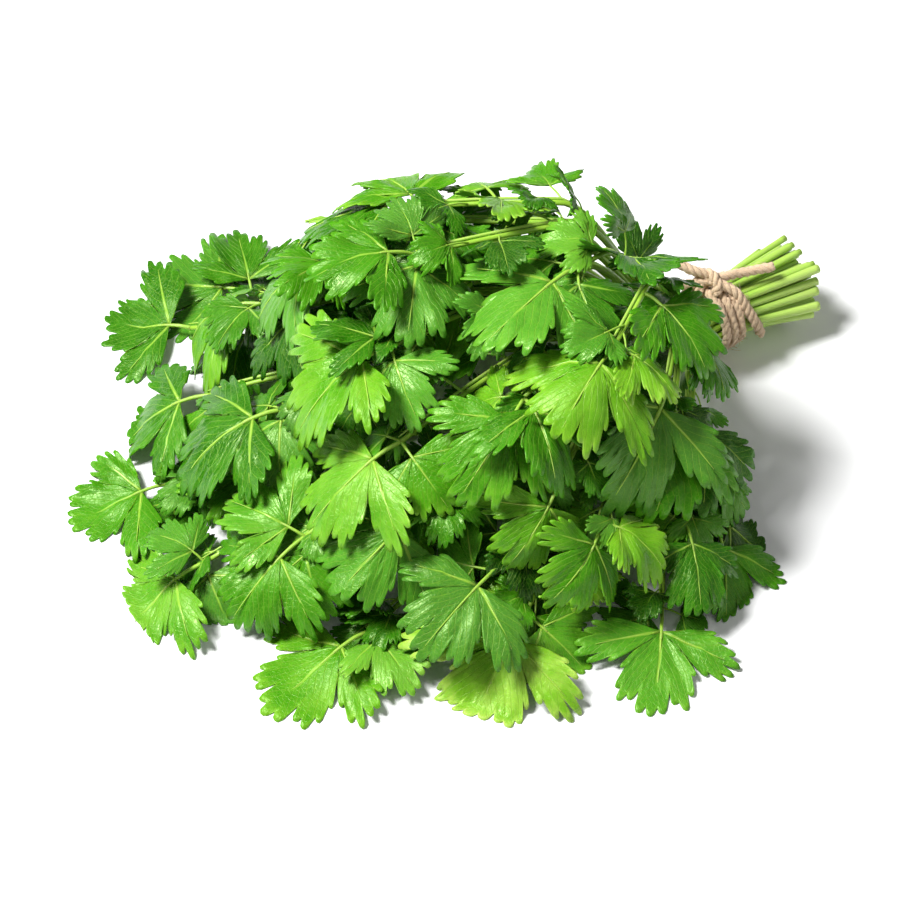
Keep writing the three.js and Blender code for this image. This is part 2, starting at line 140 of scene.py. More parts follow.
# The leaflet as it is seen. A tooth is its middle angle, half width, tip share and the notch after it.
MIDDLE_TEETH = [
    (-40, 2.4, 0.62, 0.06), (-34, 3.6, 0.8, 0.07), (-26, 4.2, 0.9, 0.07), (-18, 4, 0.86, 0.2),
    (-9, 4.6, 0.95, 0.08), (0, 4.6, 1.0, 0.08), (9, 4.6, 0.94, 0.2), (18, 4, 0.86, 0.07),
    (26, 4.2, 0.91, 0.07), (34, 3.6, 0.8, 0.06), (40, 2.4, 0.62, 0.06),
]
SIDE_TEETH = [
    (47.5, 2.9, 0.66, 0.07), (54, 3.7, 0.82, 0.08), (62, 4, 0.9, 0.21), (70, 4, 0.87, 0.08),
    (78, 4, 0.8, 0.17), (86, 4, 0.7, 0.08), (93.5, 3.4, 0.55, 0.08),
]
TEETH = [
    [(-angle, half, tip, notch) for angle, half, tip, notch in reversed(SIDE_TEETH)],
    MIDDLE_TEETH,
    SIDE_TEETH,
]
LOBE_MIDDLES = [-67, 0, 67]
SLIT_SHARE = 0.3
SLIT_HALF_ANGLE = 1.4
LOBE_NARROWING = 0.1
FINE_STEPS = [-1, -0.62, -0.22, 0.22, 0.62]
FINE_RINGS = [0.03, 0.17, 0.34, 0.51, 0.67, 0.81, 0.92, 1.0]
INNER_STEPS = [-1, -0.4, 0.4]
INNER_RINGS = [0.03, 0.3, 0.58, 0.82, 1.0]
SEEN_BLADE = 0.38

# How far a leaflet as it is seen departs from its pattern: in shares of length, millimetres and degrees.
TOOTH_ROUNDNESS = 3.2
TOOTH_SPREAD = 0.07
LOBE_TURN = 6
LOBE_LEAN = 0.8
LOBE_FOLD_DEPTH = 0.5
PUCKERS = 6
PUCKER_HEIGHT = 0.2
RIB_HEIGHT = 0.1
CRIMP_HEIGHT = 0.6


# Layout helpers, shared by all that follows
def drawer(seed):
    """Park and Miller's generator, as in the part: the same draws on any machine."""
    state = 1 + (seed * 48271) % 2147483646

    def draw():
        nonlocal state
        state = state * 16807 % 2147483647
        return state / 2147483647

    for _ in range(5):
        draw()
    return draw


def lerp(a, b, t):
    return (1 - t) * a + t * b


def smooth(t):
    t = np.clip(t, 0, 1)
    return t * t * (3 - 2 * t)


def unit(v):
    return v / math.sqrt(v @ v)


def row_height(x, y, row):
    """Height of a row's stems above the table: stacked at the tie, parted in the middle of the mound."""
    away = np.maximum(0, np.hypot(x, y) - 1.6 * TIED_HALF_LENGTH)
    out = np.hypot(x - MOUND[0], y - MOUND[1]) / MOUND_RADIUS
    crown = np.sqrt(np.maximum(0, 1 - out * out)) * smooth(away / RISE_LENGTH)
    lowest = lerp(TIE_HEIGHT - 3 * ROW_PITCH, TABLE_CLEARANCE, smooth(away / FALL_LENGTH))
    return lowest + row * lerp(ROW_PITCH, LAYER_GAP, crown)


def make_stem(row, place, count, fan, reach, index):
    draw = drawer(SEED * 1000 + index * 37)
    angle = math.radians(fan)
    side = ((count - 1) / 2 - place) * STEM_PITCH

    def way(turn, length):
        return np.array([-math.cos(turn) * length, -math.sin(turn) * length])

    end = way(angle, reach)
    cut_length = CUT_LENGTH + CUT_LENGTH_SPREAD * (draw() - 0.5) * 2
    return {
        "row": row, "index": index, "side": side, "height": (row - 3) * ROW_PITCH,
        "cut_length": cut_length, "thick": 0.86 + 0.14 * draw(), "leaflets": [],
        "plan": [
            np.array([-TIED_HALF_LENGTH, side]),
            np.array([0, side]) + way(0.3 * angle, 0.4 * reach),
            end - way(1.1 * angle, 0.33 * reach),
            end,
        ],
    }


def stem_points(stem, t):
    """Points on a stem: t runs from -1 at the cut end through 0, just inside the tie, to 1 at its end."""
    t = np.atleast_1d(np.asarray(t, float))
    x = lerp(-TIED_HALF_LENGTH, stem["cut_length"], np.maximum(0, -t))
    past = np.maximum(0, x - TIED_HALF_LENGTH) / CUT_LENGTH
    behind = np.stack([
        x,
        stem["side"] * (1 + (CUT_SPLAY - 1) * past),
        TIE_HEIGHT + stem["height"] * (1 + (CUT_SPLAY_DOWN - 1) * past) - CUT_DROP * past,
    ], 1)
    t = np.maximum(0, t)[:, None]
    s = 1 - t
    a, b, c, d = stem["plan"]
    flat = s * s * s * a + 3 * s * s * t * b + 3 * s * t * t * c + t * t * t * d
    ahead = np.column_stack([flat, row_height(flat[:, 0], flat[:, 1], stem["row"])])
    return np.where(t > 0, ahead, behind)


def stem_radius(stem, t):
    return stem["thick"] * lerp(STEM_RADIUS, np.where(t < 0, STEM_CUT_RADIUS, STEM_TIP_RADIUS), np.abs(t))


def stem_place(stem, back):
    """The place on a stem's straight pieces at a distance back from its end, and its direction there."""
    points = stem_points(stem, STATIONS)
    left = back
    for i in range(len(STATIONS) - 1, 0, -1):
        step = points[i] - points[i - 1]
        length = math.sqrt(step @ step)
        forward = step / length
        if left <= length or i == 1:
            return points[i] - forward * left, forward
        left -= length


def leaflet_frame(stem, spot, place, draw, amount):
    """The leaflet for one try: A along its midrib, B to its left, N out of its upper face."""
    def either(size):
        return size * (2 * draw() - 1)

    point, forward = spot
    yaw_at, _, stalk, size = place
    outward = (point[:2] - MOUND) / MOUND_RADIUS
    out = math.hypot(outward[0], outward[1])
    tilt = ROWS[stem["row"]][1]
    N = unit(np.array([tilt * outward[0], tilt * outward[1], 1]))
    F = unit(forward - (forward @ N) * N)
    S = np.cross(N, F)
    yaw = math.radians(yaw_at + either(10 + 16 * amount))
    pitch = -0.8 * math.asin(forward @ N) + math.radians(18 * out * tilt + either(10 + 26 * amount))
    roll = math.radians(-np.sign(yaw_at) * 6 + either(12 + 26 * amount))
    A = F * math.cos(yaw) + S * math.sin(yaw)
    across = np.cross(N, A)
    A2 = A * math.cos(pitch) - N * math.sin(pitch)
    N2 = N * math.cos(pitch) + A * math.sin(pitch)
    B = across * math.cos(roll) + N2 * math.sin(roll)
    N3 = N2 * math.cos(roll) - across * math.sin(roll)
    stalk_way = unit(A2 + 0.25 * N3)
    return {
        "A": A2, "B": B, "N": N3, "root": point - forward * ROOT_SINK,
        "base": point + stalk_way * stalk * (1 + 0.5 * draw()),
        "length": LEAFLET_LENGTH * size * (0.86 + 0.28 * draw()) * (1 - 0.4 * amount),
        "droop": 0.15 + 0.75 * draw(),
        "fold": either(0.3),
        "wave": 0.05 + 0.05 * draw(),
        "phase": 6.28 * draw(),
        "lobes": [0.9 + 0.2 * draw(), 0.94 + 0.12 * draw(), 0.9 + 0.2 * draw()],
        "hang": 0.5 * out * tilt,
    }


def blade_points(leaf, angle, share, relief=0):
    """Points of a leaflet's middle surface, by angle in degrees and share of its length from its base.

    The blade arches along its midrib, folds along it and waves, and lies flat where it meets the table.
    """
    angle = np.asarray(angle, float)
    turn = np.radians(angle)
    lobe = np.where(angle < -43, leaf["lobes"][0], np.where(angle > 43, leaf["lobes"][2], leaf["lobes"][1]))
    r = share * lobe * leaf["length"]
    along = r * np.cos(turn)
    across = r * np.sin(turn)
    bend = (leaf["droop"] + leaf["hang"]) / leaf["length"]
    rise = (
        leaf["fold"] * (np.hypot(across, 3) - 3) - 0.5 * bend * across * across * 0.6
        + leaf["wave"] * leaf["length"] * (r / leaf["length"]) ** 2 * np.sin(3 * turn + leaf["phase"])
    )
    flat = np.sin(bend * along) / bend
    drop = (1 - np.cos(bend * along)) / bend
    points = (
        leaf["base"] + flat[..., None] * leaf["A"] + across[..., None] * leaf["B"]
        + (rise - drop + relief)[..., None] * leaf["N"]
    )
    points[..., 2] = np.maximum(points[..., 2], BLADE / 2)
    return points


def facets(leaf):
    """The flat facets of the part's leaflet: its points and its triangles."""
    half = leaf["B"] * ROOT_HALF_WIDTH
    rim = blade_points(leaf, *np.array(OUTLINE).T)
    crowns = blade_points(leaf, *np.array(LOBE_CROWNS).T)
    points = np.vstack([leaf["base"] - half, leaf["base"] + half, rim, crowns])
    ids = list(range(2, 2 + len(OUTLINE)))
    right, left = CUTS
    lobes = [[0] + ids[:right + 1], [1, 0] + ids[right:left + 1], [1] + ids[left:]]
    triangles = [
        (len(ids) + 2 + k, v, ring[(i + 1) % len(ring)])
        for k, ring in enumerate(lobes) for i, v in enumerate(ring)
    ]
    return points, np.array(triangles)


def leaflet_spots(leaf):
    """Spots spread over a leaflet and its stalk, and the facet's normal at each (zero on the stalk)."""
    points, triangles = facets(leaf)
    stalk = np.array([leaf["root"] + (leaf["base"] - leaf["root"]) * k for k in (1, 0.6, 0.25)])
    crown, here, after = points[triangles[:, 0]], points[triangles[:, 1]], points[triangles[:, 2]]
    normal = np.cross(here - crown, after - crown)
    normal /= np.linalg.norm(normal, axis=1)[:, None]
    between = (here + after) / 2
    spots = [here, between, lerp(crown, here, 2 / 3), lerp(crown, here, 1 / 3), lerp(crown, between, 0.5)]
    return np.vstack([stalk] + spots), np.vstack([np.zeros((3, 3))] + [normal] * 5)


class Placed:
    """All that is placed so far, in groups of spots, with what each group keeps clear of itself."""

    def __init__(self):
        self.groups = []
        self.centres = []
        self.sizes = []

    def add(self, spots, normals, centre, size, reach, owner):
        self.groups.append((spots, normals, reach, owner))
        self.centres.append(centre)
        self.sizes.append(size)

    def is_clear(self, leaf, spots, normals, owner, tight=0):
        """True if a leaflet keeps its distance. Near its root it may meet its own stem."""
        blade = spots[normals.any(axis=1)]
        if (blade[:, 0] > -BARE_LENGTH + BARE_SLANT * np.minimum(0, blade[:, 1])).any():
            return False
        layer = INNER_LAYER_CLEARANCE if tight else LAYER_CLEARANCE
        off = np.linalg.norm(np.array(self.centres) - leaf["base"], axis=1)
        near = np.nonzero(off <= np.array(self.sizes) + 1.3 * leaf["length"])[0]
        outer = np.linalg.norm(spots - leaf["root"], axis=1) > ROOT_ZONE
        for g in near:
            theirs, their_normals, reach, their_owner = self.groups[g]
            keep = np.linalg.norm(spots - self.centres[g], axis=1) <= self.sizes[g] + reach
            if their_owner == owner:
                keep &= outer
                far = np.linalg.norm(theirs - leaf["root"], axis=1) > ROOT_ZONE
                theirs, their_normals = theirs[far], their_normals[far]
            if not keep.any() or not len(theirs):
                continue
            reach = min(reach, tight) if tight else reach
            gap = spots[keep][:, None] - theirs[None]
            close = (gap ** 2).sum(2) <= reach * reach
            if not close.any():
                continue
            above = np.abs((gap * normals[keep][:, None]).sum(2))
            below = np.abs((gap * their_normals[None]).sum(2))
            if (close & (np.minimum(above, below) < layer)).any():
                return False
        return True


def wrap_point(x, angle, lift):
    """A place on the wrapped bundle: x along it, its angle from the top towards +Y, and its lift."""
    past = max(0, x - TIED_HALF_LENGTH) / CUT_LENGTH
    spread = 1 + (CUT_SPLAY - 1) * past
    off_flat = (angle + 30) % 60 - 30
    flat = 3 * ROW_PITCH * spread
    away = flat / math.cos(math.radians(off_flat)) + STEM_RADIUS + TWINE_RADIUS + TWINE_GAP + lift
    turn = math.radians(angle)
    return np.array([x, away * math.sin(turn), TIE_HEIGHT - CUT_DROP * past + away * math.cos(turn)])


def spline(points, steps):
    """A smooth line through points, with the given number of steps from each to the next."""
    line = []
    for i in range(len(points) - 1):
        p0, p1, p2, p3 = (points[min(max(k, 0), len(points) - 1)] for k in (i - 1, i, i + 1, i + 2))
        for j in range(steps):
            t = j / steps
            line.append(
                p1 * (1 - 2.5 * t * t + 1.5 * t ** 3) + p0 * (-0.5 * t + t * t - 0.5 * t ** 3)
                + p2 * (0.5 * t + 2 * t * t - 1.5 * t ** 3) + p3 * (-0.5 * t * t + 0.5 * t ** 3)
            )
    return np.array(line + [points[-1]])


def twine_lines(fine=1):
    """The middle lines of the twine's pieces: turns, the two strands crossed in the knot, loop and tails."""
    def knot(*place):
        return wrap_point(place[0], KNOT_ANGLE + place[1], place[2])

    steps = TWINE_TURNS * STEPS_A_TURN
    turns = [
        wrap_point((i / steps - 0.5) * TWINE_TURNS * TWINE_PITCH, KNOT_ANGLE + 360 * i / STEPS_A_TURN, 0)
        for i in range(steps + 1)
    ]
    bridge = [turns[0], knot(-2.8, 6, 2.6), knot(0, 1, 3.4), knot(2.8, -6, 2.6), turns[-1]]
    collar = [
        knot(-1.2, -19, 1.4), knot(0.6, -15, 3.9), knot(0.8, 0, 6.2),
        knot(-0.4, 14, 4.4), knot(-1.4, 19, 1.6),
    ]
    loop = [
        knot(0, 2, 3.6), knot(-4, 8, 3.4), knot(-8.5, 16, 3.8), knot(-12.5, 23, 6), knot(-14, 26, 9),
        knot(-12, 25, 12), knot(-8, 18, 11), knot(-4, 9, 8), knot(0.5, 3, 5.4),
    ]
    short_tail = [knot(-1, -2, 4), knot(5, -6, 4), knot(12, -12, 3), knot(22, -24, 2.4)]
    long_tail = [
        knot(0.5, -6, 4.4), knot(4.8, -32, 2.4), knot(7, -62, 0.6), knot(9, -92, 0.5), knot(11.5, -120, 1.2),
    ]
    return [
        spline(turns, fine) if fine > 1 else np.array(turns),
        spline(bridge, 3 * fine), spline(collar, 3 * fine), spline(loop, 2 * fine),
        spline(short_tail, 3 * fine), spline(long_tail, 3 * fine),
    ]


def lay_out():
    """Every stem first, then leaflets from the outermost rows inwards, as in the part."""
    stems = []
    for row, (_, _, fans) in enumerate(ROWS):
        for place, (fan, reach) in enumerate(fans):
            stems.append(make_stem(row, place, len(fans), fan, reach, len(stems)))
    placed = Placed()
    for stem in stems:
        reach = stem_points(stem, [0, 1])
        count = math.ceil(np.linalg.norm(reach[1] - reach[0]) / STEM_SPOT_STEP)
        for i in range(0, count, STEM_SPOT_GROUP):
            spots = stem_points(stem, [min(1, (i + k) / count) for k in range(STEM_SPOT_GROUP + 1)])
            centre = spots[STEM_SPOT_GROUP // 2]
            placed.add(spots, np.zeros_like(spots), centre, 14, STEM_CLEARANCE, stem["index"])
    for line in twine_lines():
        placed.add(line, np.zeros_like(line), line[0], 34, TWINE_CLEARANCE, None)
    stems_in_turn = sorted(stems, key=lambda s: ROW_ORDER.index(s["row"]) * len(stems) + s["index"])
    for number, place in enumerate(LEAFLET_PLACES):
        for stem in stems_in_turn:
            if number < ROWS[stem["row"]][0]:
                grow(stem, place, placed, SEED + stem["index"] * 101 + number * 7, TRIES)
    for stem in stems:
        stem["in_part"] = len(stem["leaflets"])
    for number, place in enumerate(INNER_PLACES):
        for stem in stems_in_turn:
            seed = 500 + stem["index"] * 101 + number * 7
            grow(stem, place, placed, seed, INNER_TRIES, INNER_CLEARANCE)
    return stems


def grow(stem, place, placed, seed, tries, tight=0):
    """Tries to place one leaflet, turned further and smaller each time, and leaves it out if none fits."""
    spot = stem_place(stem, place[1])
    draw = drawer(seed)
    for i in range(tries):
        leaf = leaflet_frame(stem, spot, place, draw, i / tries)
        spots, normals = leaflet_spots(leaf)
        if placed.is_clear(leaf, spots, normals, stem["index"], tight):
            placed.add(spots, normals, leaf["base"], leaf["length"] * 1.3, BLADE_CLEARANCE, stem["index"])
            stem["leaflets"].append(leaf)
            return


# Meshes
def in_frame(points):
    """Layout millimetres to metres in the part's frame."""
    return (np.asarray(points) + TIE_PLACE) * MM


def set_points(mesh, points):
    mesh.vertices.foreach_set("co", np.ascontiguousarray(points, np.float32).ravel())
    mesh.update()


def set_values(mesh, name, values):
    attribute = mesh.attributes.get(name) or mesh.attributes.new(name, "FLOAT", "POINT")
    attribute.data.foreach_set("value", np.asarray(values, np.float32))


def points_of(mesh):
    co = np.empty(len(mesh.vertices) * 3, np.float32)
    mesh.vertices.foreach_get("co", co)
    return co.reshape(-1, 3).astype(float)


def stalk_master(sides, steps):
    """A round stalk one unit long with a ring at each step, to be copied and bent along a line."""
    bpy.ops.mesh.primitive_cylinder_add(vertices=sides, radius=1, depth=1, end_fill_type="TRIFAN")
    stalk = bpy.context.object
    bpy.ops.object.mode_set(mode="EDIT")
    bpy.ops.mesh.select_mode(type="EDGE")
    bpy.ops.mesh.select_all(action="DESELECT")
    bpy.ops.object.mode_set(mode="OBJECT")
    heights = points_of(stalk.data)[:, 2]
    for edge in stalk.data.edges:
        a, b = edge.vertices
        edge.select = abs(heights[a] - heights[b]) > 0.5
    bpy.ops.object.mode_set(mode="EDIT")
    bpy.ops.mesh.subdivide(number_cuts=steps - 1)
    bpy.ops.object.mode_set(mode="OBJECT")
    bpy.ops.object.shade_smooth()
    mesh = stalk.data
    bpy.data.objects.remove(stalk)
    return mesh


def square_ways(line):
    """Two directions square to a line, and to each other, at each of its points, with no twist between."""
    along = np.gradient(line, axis=0)
    along /= np.linalg.norm(along, axis=1)[:, None]
    side = np.array([0.3, 1, 0.2])
    sides = []
    for way in along:
        side = unit(side - (side @ way) * way)
        sides.append(side)
    sides = np.array(sides)
    return sides, np.cross(along, sides)


def bent_stalk(master, line, radii, ridges=0, turn=0):
    """A copy of a straight stalk bent along a line, with the radii given at the line's points."""
    mesh = master.copy()
    unit_points = points_of(mesh)
    last = len(line) - 1
    sides, tops = square_ways(line)
    step = (unit_points[:, 2] + 0.5) * last
    low = np.clip(np.floor(step).astype(int), 0, last - 1)
    share = (step - low)[:, None]

    def at(values):
        return values[low] * (1 - share) + values[low + 1] * share

    around = np.arctan2(unit_points[:, 1], unit_points[:, 0])
    size = np.hypot(unit_points[:, 0], unit_points[:, 1]) * at(np.asarray(radii, float)[:, None])[:, 0]
    size = size * (1 + ridges * np.cos(6 * around + turn))
    across = at(sides) * (np.cos(around) * size)[:, None] + at(tops) * (np.sin(around) * size)[:, None]
    place = at(line) + across
    set_points(mesh, in_frame(place))
    set_values(mesh, "along", at(np.linspace(0, 1, len(line))[:, None])[:, 0])
    set_values(mesh, "around", around / math.tau)
    return mesh


def joined(name, meshes, node, materials):
    """The meshes as one piece, which replaces a node of the part where one is named."""
    objects = []
    for mesh in meshes:
        piece = bpy.data.objects.new(name, mesh)
        bpy.context.scene.collection.objects.link(piece)
        objects.append(piece)
    bpy.ops.object.select_all(action="DESELECT")
    for piece in objects:
        piece.select_set(True)
    whole = objects[0]
    bpy.context.view_layer.objects.active = whole
    if len(objects) > 1:
        bpy.ops.object.join()
    whole.name = name
    whole.data.name = name
    whole.data.materials.clear()
    for material in materials:
        whole.data.materials.append(material)
    bpy.ops.object.select_all(action="DESELECT")
    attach(whole, "root")
    if node:
        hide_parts(node)
    return whole


def leaflet_rays(steps):
    """The leaflet's rays: angle, rim share of length, tooth, distance from the tooth's middle, and lobe."""
    rays = []
    tooth = 0
    for number, lobe in enumerate(TEETH):
        first, last = lobe[0], lobe[-1]
        rays.append((first[0] - first[1] - SLIT_HALF_ANGLE, SLIT_SHARE, tooth, first[1], number))
        for i, (centre, half, tip, notch) in enumerate(lobe):
            before = lobe[i - 1] if i else lobe[i]
            after = lobe[i + 1] if i + 1 < len(lobe) else lobe[i]
            for u in steps + ([1] if i + 1 == len(lobe) else []):
                foot = min(tip, before[2]) * (1 - before[3]) if u < 0 else min(tip, after[2]) * (1 - notch)
                rim = lerp(tip, foot, abs(u) ** TOOTH_ROUNDNESS)
                rays.append((centre + u * half, rim, tooth, abs(u) * half, number))
            tooth += 1
        rays.append((last[0] + last[1] + SLIT_HALF_ANGLE, SLIT_SHARE, tooth - 1, last[1], number))
    return np.array(rays)


def blade_master(steps, rings):
    """The flat pattern of a leaflet: rays fan out from its root, and rings follow its toothed rim."""
    rays = leaflet_rays(steps)
    bpy.ops.mesh.primitive_grid_add(x_subdivisions=len(rings) - 1, y_subdivisions=len(rays) - 1, size=1)
    grid = bpy.context.object
    bpy.ops.object.shade_smooth()
    mesh = grid.data
    bpy.data.objects.remove(grid)
    co = points_of(mesh)
    ring = np.array(rings)[np.rint((co[:, 0] + 0.5) * (len(rings) - 1)).astype(int)]
    ray = np.rint((co[:, 1] + 0.5) * (len(rays) - 1)).astype(int)
    angle, rim, tooth, off_tooth, lobe = rays[ray].T
    share = ring * rim
    middle = np.array(LOBE_MIDDLES)[lobe.astype(int)]
    set_values(mesh, "ring", ring)
    set_values(mesh, "run", share * np.cos(np.radians(angle - middle)) * LEAFLET_LENGTH)
    set_values(mesh, "side", share * np.abs(np.sin(np.radians(angle - middle))) * LEAFLET_LENGTH)
    return {
        "mesh": mesh, "ring": ring, "share": share, "off": angle - middle, "middle": middle,
        "tooth": tooth.astype(int), "lobe": lobe.astype(int), "off_tooth": off_tooth,
    }


def seen_blade(pattern, leaf, tone):
    """One leaflet's blade: the pattern laid on its surface, each tooth and lobe a little different."""
    ring, lobe = pattern["ring"], pattern["lobe"]
    draw = drawer(int(1e6 * leaf["phase"]) % 100000)
    reach = np.array([draw() for _ in range(sum(map(len, TEETH)))])[pattern["tooth"]]
    share = pattern["share"] * (1 + TOOTH_SPREAD * (reach - 0.5) * ring ** 2)
    narrow = 1 - LOBE_NARROWING * (0.4 + 1.2 * draw()) * smooth((share - SLIT_SHARE) / 0.6)
    past_slit = smooth((share - SLIT_SHARE) / 0.5)
    turned = np.array([LOBE_TURN * (draw() - 0.5) for _ in LOBE_MIDDLES])[lobe] * past_slit
    angle = pattern["middle"] + pattern["off"] * narrow + turned
    turn = np.radians(angle)
    r = share * leaf["length"]
    x, y = r * np.cos(turn), r * np.sin(turn)
    pucker = np.zeros_like(x)
    for _ in range(PUCKERS):
        way = math.tau * draw()
        wave = math.tau / (5 + 9 * draw())
        pucker += PUCKER_HEIGHT * np.sin(wave * (x * math.cos(way) + y * math.sin(way)) + math.tau * draw())
    between_ribs = RIB_HEIGHT * smooth(pattern["off_tooth"] / 4) * ring * (1 - ring ** 4)
    crimp = CRIMP_HEIGHT * ring ** 6 * np.sin(turn * (6 + 5 * draw()) + math.tau * draw())
    lean = np.array([LOBE_LEAN * (draw() - 0.5) for _ in LOBE_MIDDLES])[lobe]
    lean = lean * past_slit * r * np.sin(np.radians(pattern["off"]))
    curl = -leaf["length"] * (0.16 * draw() - 0.03) * smooth((share - 0.45) / 0.6) ** 2
    valley = -LOBE_FOLD_DEPTH * past_slit * ring * np.exp(-(pattern["off"] / 7) ** 2) * (1 - ring ** 3)
    relief = smooth(3 * ring) * (pucker + between_ribs + crimp + valley) + lean + curl
    mesh = pattern["mesh"].copy()
    set_points(mesh, in_frame(blade_points(leaf, angle, share, relief)))
    set_values(mesh, "tone", np.full(len(x), tone[0]))
    set_values(mesh, "bloom", np.full(len(x), tone[1]))
    return mesh


def leaflet_stalks(masters, stem_line, leaf, veined):
    """A leaflet's stalk, drawn out of the stem, and the three main veins it splits into."""
    near = stem_line[np.argmin(np.linalg.norm(stem_line - leaf["root"], axis=1))]
    lead = blade_points(leaf, [0, 0], np.array([0.02, 0.1]))
    middle = (near + leaf["base"]) / 2 + 0.06 * np.linalg.norm(leaf["base"] - near) * leaf["N"]
    line = spline([near, middle, lead[0], lead[1]], 4)
    size = leaf["length"] / LEAFLET_LENGTH
    meshes = [bent_stalk(masters[0], line, np.linspace(0.7, 0.45, len(line)) * size)]
    for angle, end in zip(LOBE_MIDDLES, (0.7, 0.86, 0.7)) if veined else ():
        share = np.linspace(0.03, end, 9)
        vein = blade_points(leaf, np.full(9, float(angle)), share, np.full(9, 0.02))
        meshes.append(bent_stalk(masters[1], vein, np.linspace(0.4, 0.1, 9) * size))
    return meshes


# Materials
class Nodes:
    """A material's nodes, made and linked in short calls."""

    def __init__(self, name):
        self.material = bpy.data.materials.new(name)
        self.material.use_nodes = True
        self.tree = self.material.node_tree
        self.shader = self.tree.nodes["Principled BSDF"]

    def link(self, source, target):
        self.tree.links.new(source, target)

    def attribute(self, name):
        node = self.tree.nodes.new("ShaderNodeAttribute")
        node.attribute_name = name
        return node.outputs["Fac"]

    def place(self):
        return self.tree.nodes.new("ShaderNodeTexCoord").outputs["Object"]

    def math(self, operation, a, b=0.0, clamp=False):
        node = self.tree.nodes.new("ShaderNodeMath")
        node.operation = operation
        node.use_clamp = clamp
        for socket, value in zip(node.inputs, (a, b)):
            if isinstance(value, (int, float)):
                socket.default_value = value
            else:
                self.link(value, socket)
        return node.outputs[0]

    def noise(self, scale, detail=2.0, roughness=0.5, vector=None):
        node = self.tree.nodes.new("ShaderNodeTexNoise")
        node.inputs["Scale"].default_value = scale
        node.inputs["Detail"].default_value = detail
        node.inputs["Roughness"].default_value = roughness
        self.link(vector or self.place(), node.inputs["Vector"])
        return node.outputs["Fac"]

    def cells(self, scale):
        node = self.tree.nodes.new("ShaderNodeTexVoronoi")
        node.feature = "DISTANCE_TO_EDGE"
        node.inputs["Scale"].default_value = scale
        self.link(self.place(), node.inputs["Vector"])
        return node.outputs["Distance"]

    def span(self, value, low, high, to_low=0.0, to_high=1.0):
        node = self.tree.nodes.new("ShaderNodeMapRange")
        node.interpolation_type = "SMOOTHSTEP"
        self.link(value, node.inputs["Value"])
        for name, number in zip(("From Min", "From Max", "To Min", "To Max"), (low, high, to_low, to_high)):
            node.inputs[name].default_value = number
        return node.outputs["Result"]

    def ramp(self, value, stops):
        node = self.tree.nodes.new("ShaderNodeValToRGB")
        ramp = node.color_ramp
        while len(ramp.elements) < len(stops):
            ramp.elements.new(1.0)
        for element, (position, colour) in zip(ramp.elements, stops):
            element.position = position
            element.color = (*colour, 1)
        self.link(value, node.inputs["Fac"])
        return node.outputs["Color"]

    def mix(self, share, a, b, blend="MIX"):
        node = self.tree.nodes.new("ShaderNodeMix")
        node.data_type = "RGBA"
        node.blend_type = blend
        factor = next(s for s in node.inputs if s.identifier == "Factor_Float")
        first = next(s for s in node.inputs if s.identifier == "A_Color")
        second = next(s for s in node.inputs if s.identifier == "B_Color")
        for socket, value in ((factor, share), (first, a), (second, b)):
            if isinstance(value, tuple):
                socket.default_value = (*value, 1)
            elif isinstance(value, (int, float)):
                socket.default_value = value
            else:
                self.link(value, socket)
        return next(s for s in node.outputs if s.identifier == "Result_Color")

    def bump(self, height, distance, strength=1.0):
        node = self.tree.nodes.new("ShaderNodeBump")
        node.inputs["Strength"].default_value = strength
        node.inputs["Distance"].default_value = distance
        self.link(height, node.inputs["Height"])
        self.link(node.outputs["Normal"], self.shader.inputs["Normal"])


LEAF_TONES = [
    (0.0, (0.004, 0.045, 0.0004)),
    (0.3, (0.015, 0.115, 0.001)),
    (0.6, (0.052, 0.245, 0.002)),
    (0.85, (0.17, 0.41, 0.015)),
    (1.0, (0.36, 0.56, 0.08)),
]
BLOOM_COLOUR = (0.10, 0.31, 0.03)
VEIN_COLOUR = (0.28, 0.50, 0.05)
UNDERSIDE_COLOUR = (0.14, 0.32, 0.035)
STALK_TONES = [(0.25, (0.14, 0.36, 0.015)), (0.5, (0.30, 0.54, 0.04)), (0.8, (0.50, 0.68, 0.13))]
CUT_END_COLOUR = (0.56, 0.72, 0.20)
JUTE_TONES = [(0.2, (0.40, 0.25, 0.12)), (0.45, (0.68, 0.48, 0.30)), (0.75, (0.88, 0.72, 0.52))]


